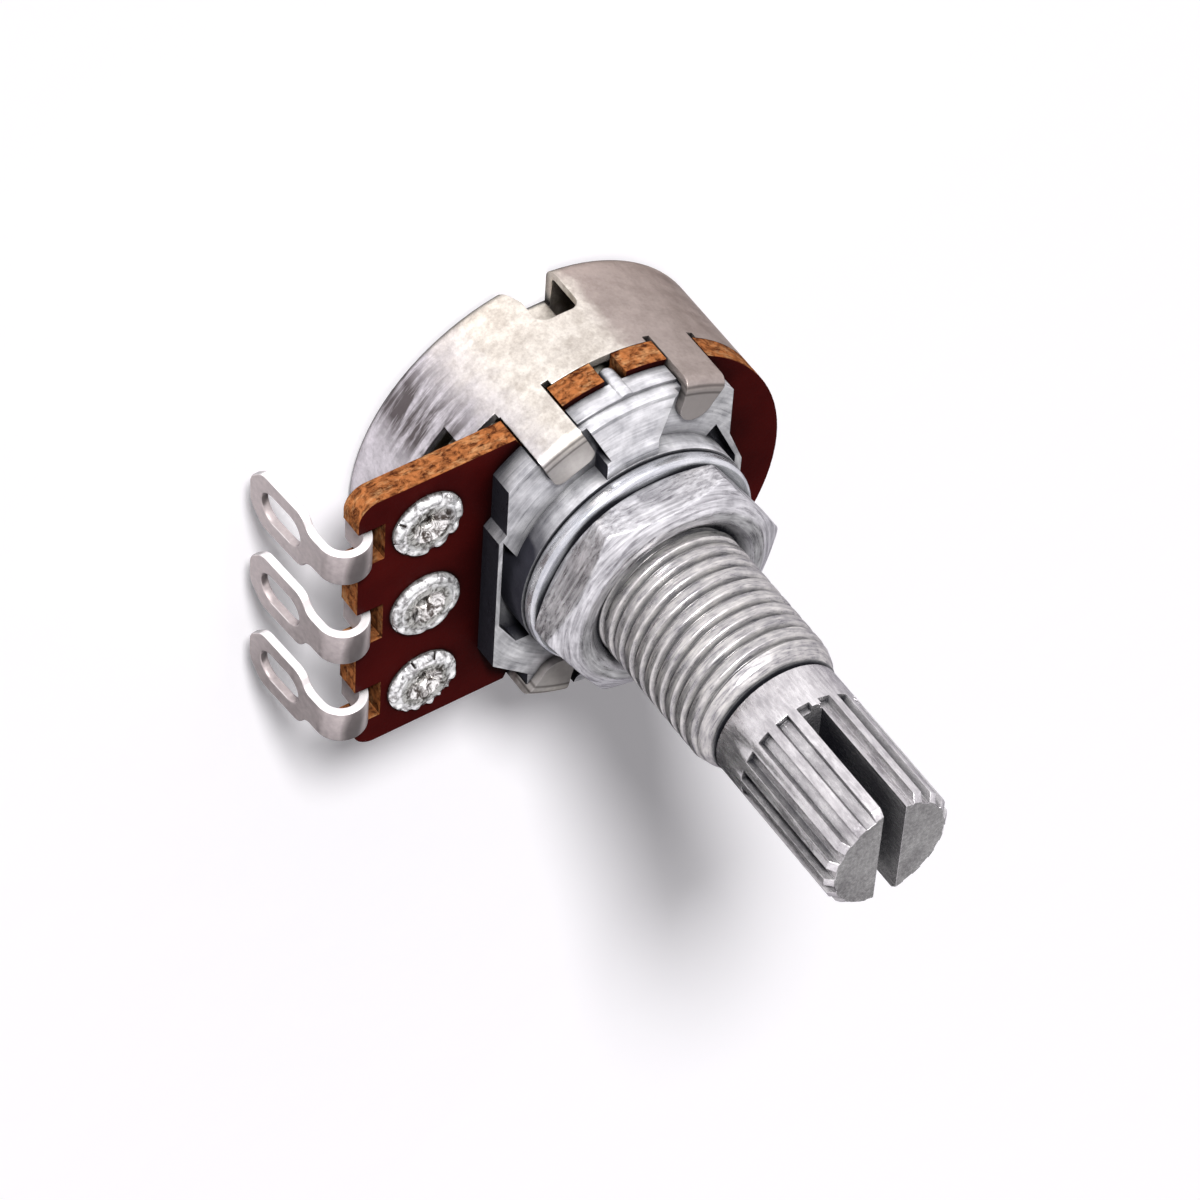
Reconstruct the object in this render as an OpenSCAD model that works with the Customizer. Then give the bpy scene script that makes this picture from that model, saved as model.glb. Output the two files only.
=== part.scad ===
// Rotary potentiometer, 17 mm class, with a knurled split shaft and solder lugs.
// The origin is the centre of the washer seat, on the shaft axis. +Z runs along the
// shaft to its tip, the solder lugs lie towards -Y, and the row of lugs runs along X.

/* [Shaft] */
// Diameter of the knurled head that takes the knob
shaft_d = 6.0; // [5.6:0.1:6.4]
// Height of the shaft tip above the washer seat
shaft_tip = 18.5; // [17.5:0.25:24]
// Length of the knurl, from the tip
knurl_len = 6.15; // [4:0.05:6.6]
// Number of ridges round the knurl
knurl_teeth = 18; // [12:3:24]
// Depth of the knurl's grooves
knurl_depth = 0.36; // [0.15:0.01:0.45]
// Share of each knurl pitch that is groove
knurl_open = 0.62; // [0.4:0.01:0.7]
// Width of the slot that splits the head
slot_w = 1.1; // [0.6:0.05:1.4]
// Depth of the slot, from the tip
slot_depth = 5.9; // [4:0.1:6.4]
// Chamfer round the tip
tip_chamfer = 0.3; // [0.1:0.05:0.6]
// Diameter of the journal that turns in the bush
journal_d = 5.0; // [4.6:0.1:5.2]
// Width across the two drive flats
drive_flat = 3.1; // [2.6:0.1:3.6]
// Full turn of the shaft, from stop to stop, in degrees
turn_range = 300; // [240:5:305]

/* [Bush and nut] */
// Outside diameter of the threaded bush
bush_d = 6.9; // [6.6:0.1:7.6]
// Length of the bush above the washer seat
bush_len = 10.35; // [8:0.05:10.8]
// Pitch of the bush's thread
thread_pitch = 0.75; // [0.5:0.05:1]
// Radial depth of the thread
thread_depth = 0.3; // [0.1:0.05:0.4]
// Width of the nut across its flats
nut_flats = 10.0; // [9.5:0.5:11]
// Thickness of the nut
nut_h = 2.2; // [1.6:0.1:2.6]
// Turn of the nut about the shaft, in degrees
nut_turn = 2; // [0:1:59]
// Outside diameter of the panel washer
washer_d = 11.0; // [10:0.5:11.5]
// Thickness of the panel washer
washer_t = 0.75; // [0.4:0.05:1]

/* [Front plate] */
// Thickness of the flange under the can's tabs
flange_t = 1.2; // [1:0.05:1.4]
// Height of the round washer seat above the flange
seat_h = 0.95; // [0.85:0.05:1.3]
// Diameter of the washer seat
seat_d = 11.1; // [10:0.1:11.4]
// Distance from the shaft axis to the flange's flat on the side of the lugs
flat_back = 6.15; // [5.9:0.05:6.4]
// Distance from the shaft axis to the flange's flat on the far side
flat_front = 5.2; // [5:0.05:5.6]

/* [Terminal board] */
// Thickness of the board
board_t = 1.2; // [0.9:0.1:1.6]
// Width of the board's tail
tail_w = 15.2; // [14.4:0.2:16]
// Length of the tail past the can's wall
tail_len = 3.5; // [3.3:0.05:4.3]
// Spacing of the solder lugs
lug_pitch = 5.0; // [4.6:0.1:5]
// Distance from the can's wall out to the row of rivets
rivet_out = 0.25; // [0.1:0.05:0.5]
// Diameter of the rivets' front rosettes
rosette_d = 3.3; // [2.8:0.1:3.4]
// Thickness of the printed tracks
film_t = 0.06; // [0.04:0.01:0.1]
// Share of the printed band that is resistance track
track_share = 0.46; // [0.35:0.01:0.5]
// Share of the printed band that is collector track
collector_share = 0.23; // [0.18:0.01:0.28]

/* [Solder lugs] */
// Thickness of the lug strip
lug_t = 0.4; // [0.3:0.05:0.5]
// Width of the lug's neck
neck_w = 1.75; // [1.4:0.05:1.8]
// Width of the eyelet
eyelet_w = 3.2; // [2.8:0.1:3.6]
// Length of the eyelet
eyelet_len = 4.05; // [3.6:0.05:4.6]
// Width of the oval hole
hole_w = 1.6; // [1.2:0.1:1.8]
// Length of the oval hole
hole_len = 2.7; // [2:0.1:2.8]
// Outer radius of the bend over the tail's end
bend_r = 1.17; // [1:0.01:1.3]
// Outward lean of the lug below the bend, in degrees
lug_lean = 4; // [0:1:8]

/* [Rear can] */
// Outside diameter of the can
can_d = 17.4; // [17.2:0.1:18]
// Depth of the can behind the board
can_depth = 5.5; // [5.4:0.1:7]
// Thickness of the can's sheet
sheet_t = 0.4; // [0.3:0.05:0.45]
// Width of each of the four fixing tabs
tab_w = 2.1; // [1.6:0.1:2.3]
// Angle between each tab and the X axis, in degrees
tab_angle = 24.6; // [23:0.2:26]
// Length of the folded part of a tab, from the can's outside
tab_fold = 2.1; // [1.4:0.1:2.3]
// Width of the notch in the can's rear edge
notch_w = 2.05; // [1.8:0.05:2.4]
// Distance from the inside of the can's wall to the stop tongue folded in at the notch
tongue_in = 1.5; // [1.2:0.1:1.8]

/* [Rotor and wiper] */
// Gap between the rotor disc and the inside of the can's wall
rotor_room = 1.1; // [0.9:0.05:1.3]
// Thickness of the rotor disc
rotor_t = 1.0; // [0.8:0.05:1.1]
// Thickness of the wiper's spring sheet
wiper_t = 0.2; // [0.1:0.05:0.25]

/* [Hidden] */
$fn = 72;
eps = 0.01;
// Radial clearance of the shaft in its bush, of parts that turn past each other,
// and of parts that are fixed together
run_gap = 0.03;
turn_gap = 0.3;
fit_gap = 0.05;

// Levels along the shaft, from the washer seat
flange_z = -seat_h;
board_z = flange_z - flange_t;
board_rear = board_z - board_t;
film_z = board_rear - film_t;
can_back = board_rear - can_depth;
can_r = can_d / 2;
can_in = can_r - sheet_t;
shaft_r = shaft_d / 2;
journal_r = journal_d / 2;
bore_r = journal_r + run_gap;
bush_r = bush_d / 2;
seat_r = seat_d / 2;
tail_reach = can_r + tail_len;
rivet_row = can_r + rivet_out;
rotor_r = can_in - rotor_room;
tongue_r = can_in - tongue_in;

// The bush's thread starts at the nut's top. Below that both are plain, and they meet at
// the radius of the thread's root.
mesh_r = bush_r - thread_depth;
nut_top = washer_t + nut_h;
bush_chamfer = 0.4;
thread_crest = 0.3 * thread_pitch;
thread_flank = 0.3 * thread_pitch;
thread_turns = floor((bush_len - bush_chamfer - nut_top - thread_crest) / thread_pitch);

// Front plate: land between two tabs, peg, and pockets front and rear
flange_r = can_r - 0.3;
tab_seat_r = can_in - 0.15;
tab_room = 0.3;
land_half = 19;
land_step = 0.18;
land_lip = 0.3;
land_edge = 0.25;
land_foot = seat_r + 0.75;
peg_r = 0.42;
peg_at = flange_r - peg_r + 0.12;
peg_len = board_t - 0.25 - peg_r;
recess_z = flange_z - 0.75;
recess_rim = 0.2;
recess_left = 3.1;
recess_right = 2.2;
recess_corner = 1.1;
recess_side = 3.7;
recess_rib = 0.8;
recess_in = 3;
lobe_x = 4.7;
lobe_cut_x = 1.6;
lobe_cut_y = 1.8;
lobe_step = 0.35;
front_lobe_in = 3.4;
front_lobe_out = 6.1;
front_bulge = 0.75;
front_bulge_x = 1.45;
pocket_r = 4.2;
pocket_z = -0.55;

// Thrust washer and retaining ring, in the pocket behind the bush
thrust_t = 0.25;
thrust_z = pocket_z - fit_gap - thrust_t;
thrust_r = 3.9;
ring_t = 0.45;
ring_z = thrust_z - fit_gap - ring_t;
ring_r = 3.7;
groove_r = journal_r - 0.4;
ring_open = 70;

// Shaft behind the ring, its drive end and the staked head that holds the rotor
head_z = bush_len + 0.2;
journal_end = board_z - 0.2;
drive_r = 2.0;
hub_r = 2.9;
hub_front = journal_end - fit_gap;
hub_rear = can_back + sheet_t + 1.5;
stake_t = 0.35;
stake_r = 2.5;

// Board and rivets
board_hole_r = hub_r + turn_gap;
tail_corner = 1.0;
notch_depth = 1.25;
notch_side = 0.175;
rivet_r = 0.8;
rivet_bore = 0.42;
rivet_head_r = 1.35;
rivet_head_t = 0.35;
rosette_h = 0.35;
petals = 9;
pad_r = 1.6;
tab_slot = tab_w + 0.2;
peg_slot_r = peg_r + 0.1;

// Tracks on the back of the board, in the band between its hole and the rotor's rim
track_r = rotor_r - 0.3;
band = track_r - board_hole_r;
track_in = track_r - track_share * band;
track_gap = 30;
end_pad = 8;
ring_track_in = board_hole_r + band / 7;
ring_track_out = ring_track_in + collector_share * band;
lead_w = 1.2;

// Lugs: each strip leaves the back of the board, rises through the tail's notch and
// bends over to run back past the board
lug_z = film_z - lug_t;
bend_y = -tail_reach - 0.4;
bend_z = board_z - 0.48;
riser_y = bend_y + bend_r;
leg_top = 0.85;
eyelet_cut = 0.85;
shoulder = 0.5;
hole_from = 0.8;

// Can
rim_r = 0.7;
tab_bend = 0.1;
tab_corner = 0.45;
relief_w = 0.35;
relief_depth = 0.3;
notch_z = can_back + 2.65;
notch_corner = 0.55;
notch_flare = 0.5;
tongue_w = notch_w - 0.45;
tongue_top = can_back + 2.85;
opening_half = 45;
shoulder_half = 58;
opening_depth = 1.95;
shoulder_depth = 0.6;

// Rotor: its rim block meets the stop tongue at each end of the turn
rotor_front = film_z - 1.25;
rotor_rear = rotor_front - rotor_t;
stop_in = tongue_r - sheet_t - 0.8;
stop_out = can_in - 0.2;
stop_rear = can_back + sheet_t + 0.25;
tongue_half = atan(tongue_w / 2 / (tongue_r - sheet_t));
stop_half = 180 - turn_range / 2 - tongue_half - 0.5;
post_r = 0.4;
post_at = 40;

// Wiper: two sprung fingers on each track
wiper_in = hub_r + 0.3;
wiper_out = rotor_r - 0.1;
wiper_half = 48;
finger_w = 0.3;
finger_pitch = 0.5;
finger_len = 2.4;
finger_foot = 0.4;
finger_turn = 0.35;
finger_top = film_z - 0.03;
track_mid = (track_in + track_r) / 2;
ring_mid = (ring_track_in + ring_track_out) / 2;
window_in = ring_mid - (finger_pitch + finger_w) / 2;
window_out = track_mid + (finger_pitch + finger_w) / 2;
post_ring = (wiper_in + wiper_out) / 2;

// A solid cylinder between two heights
module rod(r, z0, z1) {
    translate([0, 0, z0]) cylinder(r = r, h = z1 - z0);
}

// A ring between two radii and two heights
module tube(r_in, r_out, z0, z1) {
    difference() {
        rod(r_out, z0, z1);
        rod(r_in, z0 - 1, z1 + 1);
    }
}

// A flat sector of a ring, from angle a0 to a1
module sector(r_in, r_out, z0, z1, a0, a1) {
    rotate([0, 0, a0]) rotate_extrude(angle = a1 - a0)
        translate([r_in, z0]) square([r_out - r_in, z1 - z0]);
}

// Repeats its child at the four tabs of the can
module at_tabs() {
    for (a = [tab_angle, 180 - tab_angle, 180 + tab_angle, -tab_angle])
        rotate([0, 0, a]) children();
}

// The flange: a disc with an uneven flat on each side and one corner cut off
module flange() {
    intersection() {
        rod(flange_r, board_z, flange_z);
        translate([0, 0, board_z]) linear_extrude(flange_t) polygon([
            [-can_r, lobe_step - flat_back], [-recess_left - lobe_step, lobe_step - flat_back],
            [-recess_left, -flat_back], [lobe_x, -flat_back],
            [lobe_x + lobe_cut_x, lobe_cut_y - flat_back], [can_r, lobe_cut_y - flat_back],
            [can_r, flat_front - 1], [front_lobe_out + 1.1, flat_front - 1],
            [front_lobe_out, flat_front], [front_lobe_in, flat_front],
            [front_bulge_x, flat_front + front_bulge], [-front_bulge_x, flat_front + front_bulge],
            [-front_lobe_in, flat_front], [-front_lobe_out, flat_front],
            [-front_lobe_out - 1.1, flat_front - 1], [-can_r, flat_front - 1]]);
    }
}

// Sunk areas in the flange, in front of the tail and on the far side
module recesses() {
    back_y = recess_rim - flat_back;
    front_y = flat_front + front_bulge - recess_rim - 0.15;
    translate([0, 0, recess_z]) linear_extrude(flange_t + 1) {
        polygon([
            [-recess_left, back_y], [recess_right, back_y],
            [recess_side, recess_corner - flat_back], [recess_side, -recess_in],
            [-recess_rib, -recess_in], [-recess_rib, recess_corner + 0.35 - flat_back]]);
        polygon([
            [-front_lobe_in - 1, flat_front - recess_corner + 0.35], [-front_bulge_x - 0.35, front_y],
            [front_bulge_x + 0.35, front_y], [front_lobe_in + 1, flat_front - recess_corner + 0.35],
            [recess_in, recess_in], [-recess_in, recess_in]]);
    }
}

// The bush with its chamfered mouth, down to the flange. Rings stand for its thread.
module bush_body() {
    z0 = nut_top + thread_crest;
    rotate_extrude() polygon(concat(
        [[0, flange_z - eps], [mesh_r, flange_z - eps], [mesh_r, nut_top], [bush_r, nut_top]],
        [for (i = [0 : thread_turns - 1]) each [
            [bush_r, z0 + i * thread_pitch],
            [mesh_r, z0 + i * thread_pitch + thread_flank],
            [mesh_r, z0 + (i + 1) * thread_pitch - thread_crest - thread_flank],
            [bush_r, z0 + (i + 1) * thread_pitch - thread_crest]]],
        [[bush_r, bush_len - bush_chamfer], [bush_r - bush_chamfer, bush_len], [0, bush_len]]));
}

// The raised land between two tabs: a lip, and a block that slopes up to the washer seat
// and narrows towards it
module side_land() {
    lip_r = flange_r - land_step;
    rotate([0, 0, -land_half]) rotate_extrude(angle = 2 * land_half)
        translate([lip_r - land_edge, flange_z - eps]) square([land_edge, land_lip + eps]);
    intersection() {
        rotate([0, 0, -land_half]) rotate_extrude(angle = 2 * land_half) polygon([
            [0, flange_z - eps], [lip_r - eps, flange_z - eps], [lip_r - eps, flange_z + land_lip],
            [lip_r - land_edge, flange_z + land_lip], [land_foot, -0.05], [0, -0.05]]);
        translate([0, 0, flange_z - 1]) linear_extrude(seat_h + 2) polygon([
            [0, -1.6], [land_foot, -1.6], [lip_r - land_edge, -2.45], [can_r, -2.45],
            [can_r, 2.2], [lip_r - land_edge, 2.2], [land_foot, 0.9], [0, 0.9]]);
    }
}

// The groove that runs round the edge of the flange under the land
module edge_groove() {
    z = flange_z - 0.3;
    rotate([0, 0, -land_half]) rotate_extrude(angle = 2 * land_half)
        translate([flange_r - land_step, z]) square([1, 1]);
}

// The round-ended peg that keeps the board from turning
module plate_peg() {
    translate([peg_at, 0, board_z - peg_len]) {
        cylinder(r = peg_r, h = peg_len + flange_t - 0.3);
        sphere(r = peg_r);
    }
}

module front_plate() {
    color("#a7a9ac") difference() {
        union() {
            difference() {
                flange();
                recesses();
                for (s = [0, 1]) mirror([s, 0, 0]) edge_groove();
            }
            rod(seat_r, board_z, flange_z + eps);
            difference() {
                union() {
                    rod(seat_r, flange_z, 0);
                    for (s = [0, 1]) mirror([s, 0, 0]) side_land();
                }
                // Room round the folded tabs
                at_tabs() translate([can_r - tab_fold - tab_room, -tab_w / 2 - tab_room, flange_z])
                    cube([4, tab_w + 2 * tab_room, seat_h + 1]);
            }
            bush_body();
            for (s = [0, 1]) mirror([s, 0, 0]) plate_peg();
        }
        at_tabs() translate([tab_seat_r, -tab_slot / 2, board_z - 1])
            cube([2, tab_slot, flange_t + seat_h + 2]);
        rod(bore_r, board_z - 1, bush_len + 1);
        rod(pocket_r, board_z - 1, pocket_z);
    }
}

// One groove of the knurl, with a flat floor and a square end
module knurl_groove() {
    half = 180 / knurl_teeth * knurl_open;
    floor_r = shaft_r - knurl_depth;
    top_r = shaft_r + 0.1;
    w_floor = floor_r * tan(half) * 0.8;
    w_top = top_r * tan(half);
    translate([0, 0, shaft_tip - knurl_len]) linear_extrude(knurl_len + 1) polygon([
        [floor_r, -w_floor], [top_r, -w_top], [top_r, w_top], [floor_r, w_floor]]);
}

// The drive end between its two flats, grown by a clearance
module drive(z0, z1, gap) {
    intersection() {
        rod(drive_r + gap, z0, z1);
        translate([-drive_flat / 2 - gap, -drive_r - 1, z0])
            cube([drive_flat + 2 * gap, 2 * drive_r + 2, z1 - z0]);
    }
}

module shaft() {
    color("#b9babd") union() {
        difference() {
            rotate_extrude() polygon([
                [0, head_z], [shaft_r, head_z], [shaft_r, shaft_tip - tip_chamfer],
                [shaft_r - tip_chamfer, shaft_tip], [0, shaft_tip]]);
            for (i = [0 : knurl_teeth - 1])
                rotate([0, 0, (i + 0.25) * 360 / knurl_teeth]) knurl_groove();
            translate([-shaft_d, -slot_w / 2, shaft_tip - slot_depth])
                cube([2 * shaft_d, slot_w, slot_depth + 1]);
        }
        difference() {
            rod(journal_r, journal_end, head_z + eps);
            tube(groove_r, journal_r + 1, ring_z - fit_gap / 2, ring_z + ring_t + fit_gap / 2);
        }
        drive(hub_rear - fit_gap, journal_end + eps, 0);
        rod(stake_r, hub_rear - fit_gap - stake_t, hub_rear - fit_gap);
    }
}

module thrust_washer() {
    color("#c2b27a") tube(journal_r + fit_gap, thrust_r, thrust_z, thrust_z + thrust_t);
}

// An open ring that snaps into the journal's groove, its mouth towards the lugs
module retaining_ring() {
    half = ring_open / 2;
    color("#6d7074")
        sector(groove_r + fit_gap, ring_r, ring_z, ring_z + ring_t, half - 90, 270 - half);
}

// The tail's outline, with its two outer corners rounded
module tail_outline() {
    half = tail_w / 2;
    translate([-half, tail_corner - tail_reach]) square([tail_w, tail_reach - tail_corner]);
    translate([tail_corner - half, -tail_reach]) square([tail_w - 2 * tail_corner, 2]);
    for (s = [-1, 1]) translate([s * (half - tail_corner), tail_corner - tail_reach])
        circle(tail_corner);
}

module terminal_board() {
    slot = neck_w + 2 * notch_side;
    color("#4a1013") difference() {
        translate([0, 0, board_rear]) linear_extrude(board_t) difference() {
            union() {
                circle(can_r);
                tail_outline();
            }
            circle(board_hole_r);
            for (x = [-lug_pitch, 0, lug_pitch]) {
                translate([x - slot / 2, -tail_reach - 1]) square([slot, notch_depth + 1]);
                translate([x, -rivet_row]) circle(rivet_r + fit_gap);
            }
        }
        at_tabs() translate([can_in - fit_gap, -tab_slot / 2, board_rear - 1])
            cube([2, tab_slot, board_t + 2]);
        for (s = [0, 1]) mirror([s, 0, 0]) translate([peg_at, 0, board_rear - 1]) {
            cylinder(r = peg_slot_r, h = board_t + 2);
            translate([0, -peg_slot_r, 0]) cube([2, 2 * peg_slot_r, board_t + 2]);
        }
    }
}

module resistance_track() {
    color("#1c1c1e")
        sector(track_in, track_r, film_z, board_rear, track_gap - 90, 270 - track_gap);
}

// The printed ring under the wiper's inner fingers, with its lead to the middle rivet
module collector_track() {
    color("#9a9a96") translate([0, 0, film_z]) linear_extrude(film_t) difference() {
        union() {
            circle(ring_track_out);
            translate([-lead_w / 2, -rivet_row]) square([lead_w, rivet_row - ring_track_in]);
            translate([0, -rivet_row]) circle(pad_r);
        }
        circle(ring_track_in);
        translate([0, -rivet_row]) circle(rivet_r + fit_gap);
    }
}

// A printed pad from one end of the resistance track to its rivet; side is 1 or -1
module end_pad(side) {
    color("#9a9a96") mirror([side < 0 ? 1 : 0, 0, 0]) difference() {
        union() {
            sector(track_in, track_r, film_z, board_rear,
                   track_gap - 90 - end_pad, track_gap - 90);
            rotate([0, 0, track_gap - 90 - end_pad / 2]) translate([track_in + 0.2, -0.4, film_z])
                cube([rivet_row + 0.8 - track_in, 0.8, film_t]);
            translate([lug_pitch, -rivet_row, 0]) rod(pad_r, film_z, board_rear);
        }
        translate([lug_pitch, -rivet_row, 0])
            rod(rivet_r + fit_gap, film_z - 1, board_rear + 1);
    }
}

// The straight leg below the bend: neck, shoulders, chamfered end and oval hole
module eyelet_leg(leg_len) {
    half = eyelet_w / 2;
    end = half - eyelet_cut;
    translate([0, lug_t, 0]) rotate([90, 0, 0]) linear_extrude(lug_t) difference() {
        union() {
            translate([-neck_w / 2, eyelet_len - eps]) square([neck_w, leg_len - eyelet_len + eps]);
            polygon([[-end, 0], [end, 0], [half, eyelet_cut], [half, eyelet_len - shoulder],
                     [neck_w / 2, eyelet_len], [-neck_w / 2, eyelet_len],
                     [-half, eyelet_len - shoulder], [-half, eyelet_cut]]);
        }
        translate([0, hole_from + hole_w / 2]) circle(hole_w / 2);
        translate([0, hole_from + hole_len - hole_w / 2]) circle(hole_w / 2);
        translate([-hole_w / 2, hole_from + hole_w / 2]) square([hole_w, hole_len - hole_w]);
    }
}

module lug(x) {
    leg_len = leg_top + eyelet_len;
    color("#b4b5b8") translate([x, 0, 0]) difference() {
        union() {
            // Flat pad and strip under the board, then the riser through the notch
            translate([0, -rivet_row, 0]) rod(pad_r, lug_z, lug_z + lug_t);
            translate([-neck_w / 2, riser_y - lug_t, lug_z])
                cube([neck_w, lug_t - riser_y - rivet_row, lug_t]);
            translate([-neck_w / 2, riser_y - lug_t, lug_z])
                cube([neck_w, lug_t, bend_z - lug_z + eps]);
            translate([0, bend_y, bend_z]) {
                rotate([90, 0, 90]) translate([0, 0, -neck_w / 2])
                    rotate_extrude(angle = 180 - lug_lean)
                        translate([bend_r - lug_t, 0]) square([lug_t, neck_w]);
                rotate([-lug_lean, 0, 0]) translate([0, -bend_r, -leg_len]) eyelet_leg(leg_len);
            }
        }
        translate([0, -rivet_row, 0]) rod(rivet_r + fit_gap, lug_z - 1, lug_z + lug_t + 1);
    }
}

// A tubular rivet: flat head behind the lug, crimped rosette in front of the board
module rivet(x) {
    rose_r = rosette_d / 2;
    color("#c6c7c9") translate([x, -rivet_row, 0]) difference() {
        rotate_extrude() polygon([
            [rivet_bore, lug_z - rivet_head_t], [rivet_head_r, lug_z - rivet_head_t],
            [rivet_head_r, lug_z], [rivet_r, lug_z], [rivet_r, board_z],
            [rose_r, board_z], [rose_r, board_z + rosette_h * 0.35],
            [rose_r * 0.72, board_z + rosette_h], [rose_r * 0.5, board_z + rosette_h],
            [rivet_bore, board_z + rosette_h * 0.2]]);
        for (i = [0 : petals - 1]) rotate([0, 0, i * 360 / petals])
            translate([rose_r * 0.8, -0.06, board_z + 0.05]) cube([1, 0.12, rosette_h + 1]);
    }
}

module rotor() {
    color("#e4dfd2") difference() {
        union() {
            rod(rotor_r, rotor_rear, rotor_front);
            rod(hub_r, hub_rear, hub_front);
            sector(stop_in, stop_out, stop_rear, rotor_rear + eps, -stop_half, stop_half);
            sector(stop_in, stop_out, rotor_rear, rotor_front, -stop_half, stop_half);
            for (a = [90 - post_at, 90 + post_at]) rotate([0, 0, a])
                translate([post_ring, 0, 0]) rod(post_r, rotor_rear, rotor_front + wiper_t + 0.15);
        }
        drive(hub_rear - 1, hub_front + 1, run_gap);
        // Recess round the hub, at the back
        tube(hub_r + 0.3, stop_in - 0.5, rotor_rear - 1, rotor_rear + 0.3);
    }
}

// One sprung finger: it rises from the plate to touch the track, then turns down
module finger(r) {
    top = finger_top;
    translate([0, r + finger_w / 2, 0]) rotate([90, 0, 0]) linear_extrude(finger_w) polygon([
        [-finger_len, rotor_front], [0, top - wiper_t], [finger_turn, top - wiper_t - 0.25],
        [finger_turn, top - 0.25], [0, top], [-finger_len, rotor_front + wiper_t]]);
}

module wiper() {
    color("#b98c4a") union() {
        difference() {
            sector(wiper_in, wiper_out, rotor_front, rotor_front + wiper_t,
                   90 - wiper_half, 90 + wiper_half);
            for (a = [90 - post_at, 90 + post_at]) rotate([0, 0, a])
                translate([post_ring, 0, 0]) rod(post_r + fit_gap, rotor_front - 1, rotor_front + 1);
            translate([finger_foot - finger_len, window_in, rotor_front - 1])
                cube([finger_len - finger_foot + 2 * finger_turn, window_out - window_in,
                      wiper_t + 2]);
        }
        for (s = [-0.5, 0.5]) {
            finger(track_mid + s * finger_pitch);
            finger(ring_mid + s * finger_pitch);
        }
    }
}

// Half section of a tab: up the can's wall, round the bend and in over the flange
module tab_section() {
    turn = tab_bend + sheet_t;
    translate([can_in, board_rear - eps])
        square([sheet_t, flange_z - tab_bend - board_rear + 2 * eps]);
    translate([can_in - tab_bend, flange_z - tab_bend]) intersection() {
        difference() {
            circle(turn);
            circle(tab_bend);
        }
        square(turn);
    }
    translate([can_r - tab_fold, flange_z]) square([tab_fold - turn + eps, sheet_t]);
}

// Outline of a tab from the front, with a square tip or a narrower round one
module tab_outline(round_tip) {
    reach = can_r - tab_fold;
    tip_r = tab_w * 0.4;
    if (round_tip) {
        translate([reach + tip_r, 0]) circle(tip_r);
        polygon([[reach + tip_r, -tip_r], [can_in, -tab_w / 2], [can_r + 1, -tab_w / 2],
                 [can_r + 1, tab_w / 2], [can_in, tab_w / 2], [reach + tip_r, tip_r]]);
    } else {
        translate([reach + tab_corner, -tab_w / 2]) square([can_r, tab_w]);
        translate([reach, -tab_w / 2 + tab_corner]) square([2, tab_w - 2 * tab_corner]);
        for (s = [-1, 1]) translate([reach + tab_corner, s * (tab_w / 2 - tab_corner)])
            circle(tab_corner);
    }
}

module can_tab(round_tip) {
    sweep = 13;
    intersection() {
        rotate([0, 0, -sweep]) rotate_extrude(angle = 2 * sweep) tab_section();
        translate([0, 0, board_rear - 1]) linear_extrude(board_t + flange_t + seat_h + 2)
            tab_outline(round_tip);
    }
}

// The can's cup, with its rounded rear edge
module can_cup() {
    rim_in = rim_r - sheet_t;
    rotate_extrude() difference() {
        union() {
            translate([0, can_back]) square([can_r - rim_r, can_depth]);
            translate([0, can_back + rim_r]) square([can_r, can_depth - rim_r]);
            translate([can_r - rim_r, can_back + rim_r]) circle(rim_r);
        }
        translate([0, can_back + sheet_t]) square([can_in - rim_in, can_depth]);
        translate([0, can_back + rim_r]) square([can_in, can_depth]);
        translate([can_r - rim_r, can_back + rim_r]) circle(rim_in);
    }
}

// The notch in the can's rear edge, seen along X, with rounded inner corners
module notch_cut() {
    half = notch_w / 2;
    depth = notch_z - can_back;
    x0 = tongue_r - 0.3;
    translate([x0, 0, can_back]) rotate([90, 0, 90]) linear_extrude(can_r + 1 - x0) {
        translate([-half, -1]) square([notch_w, depth + 1 - notch_corner]);
        translate([notch_corner - half, 0]) square([notch_w - 2 * notch_corner, depth]);
        for (s = [-1, 1]) translate([s * (half - notch_corner), depth - notch_corner])
            circle(notch_corner);
        // One side opens wider towards the rear edge
        polygon([[-half, notch_flare * 2.5], [-half - notch_flare, 0], [-half - notch_flare, -1],
                 [-half, -1]]);
    }
}

// The tongue that was folded in from the notch, with the bend at its foot
module stop_tongue() {
    turn = sheet_t + tab_bend;
    translate([tongue_r - sheet_t, -tongue_w / 2, can_back + turn])
        cube([sheet_t, tongue_w, tongue_top - can_back - turn]);
    translate([tongue_r - turn, tongue_w / 2, can_back + turn])
        rotate([90, 90, 0]) rotate_extrude(angle = 90) difference() {
            translate([tab_bend, 0]) square([sheet_t, tongue_w]);
        }
    translate([tongue_r - turn - 1, -tongue_w / 2, can_back]) cube([1 + eps, tongue_w, sheet_t]);
}

module rear_can() {
    color("#b3aca4") union() {
        difference() {
            can_cup();
            // Opening round the lugs, with a lower shoulder at each side
            sector(can_in - 1, can_r + 1, board_rear - opening_depth, board_rear + 1,
                   270 - opening_half, 270 + opening_half);
            sector(can_in - 1, can_r + 1, board_rear - shoulder_depth, board_rear + 1,
                   270 - shoulder_half, 270 + shoulder_half);
            // Relief cuts beside the tabs' roots
            at_tabs() for (s = [-1, 1])
                translate([can_in - 1, s * (tab_w + relief_w) / 2 - relief_w / 2,
                           board_rear - relief_depth]) cube([3, relief_w, 1]);
            mirror([1, 0, 0]) notch_cut();
        }
        for (a = [180 + tab_angle, tab_angle]) rotate([0, 0, a]) can_tab(false);
        for (a = [180 - tab_angle, -tab_angle]) rotate([0, 0, a]) can_tab(true);
        mirror([1, 0, 0]) stop_tongue();
    }
}

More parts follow.
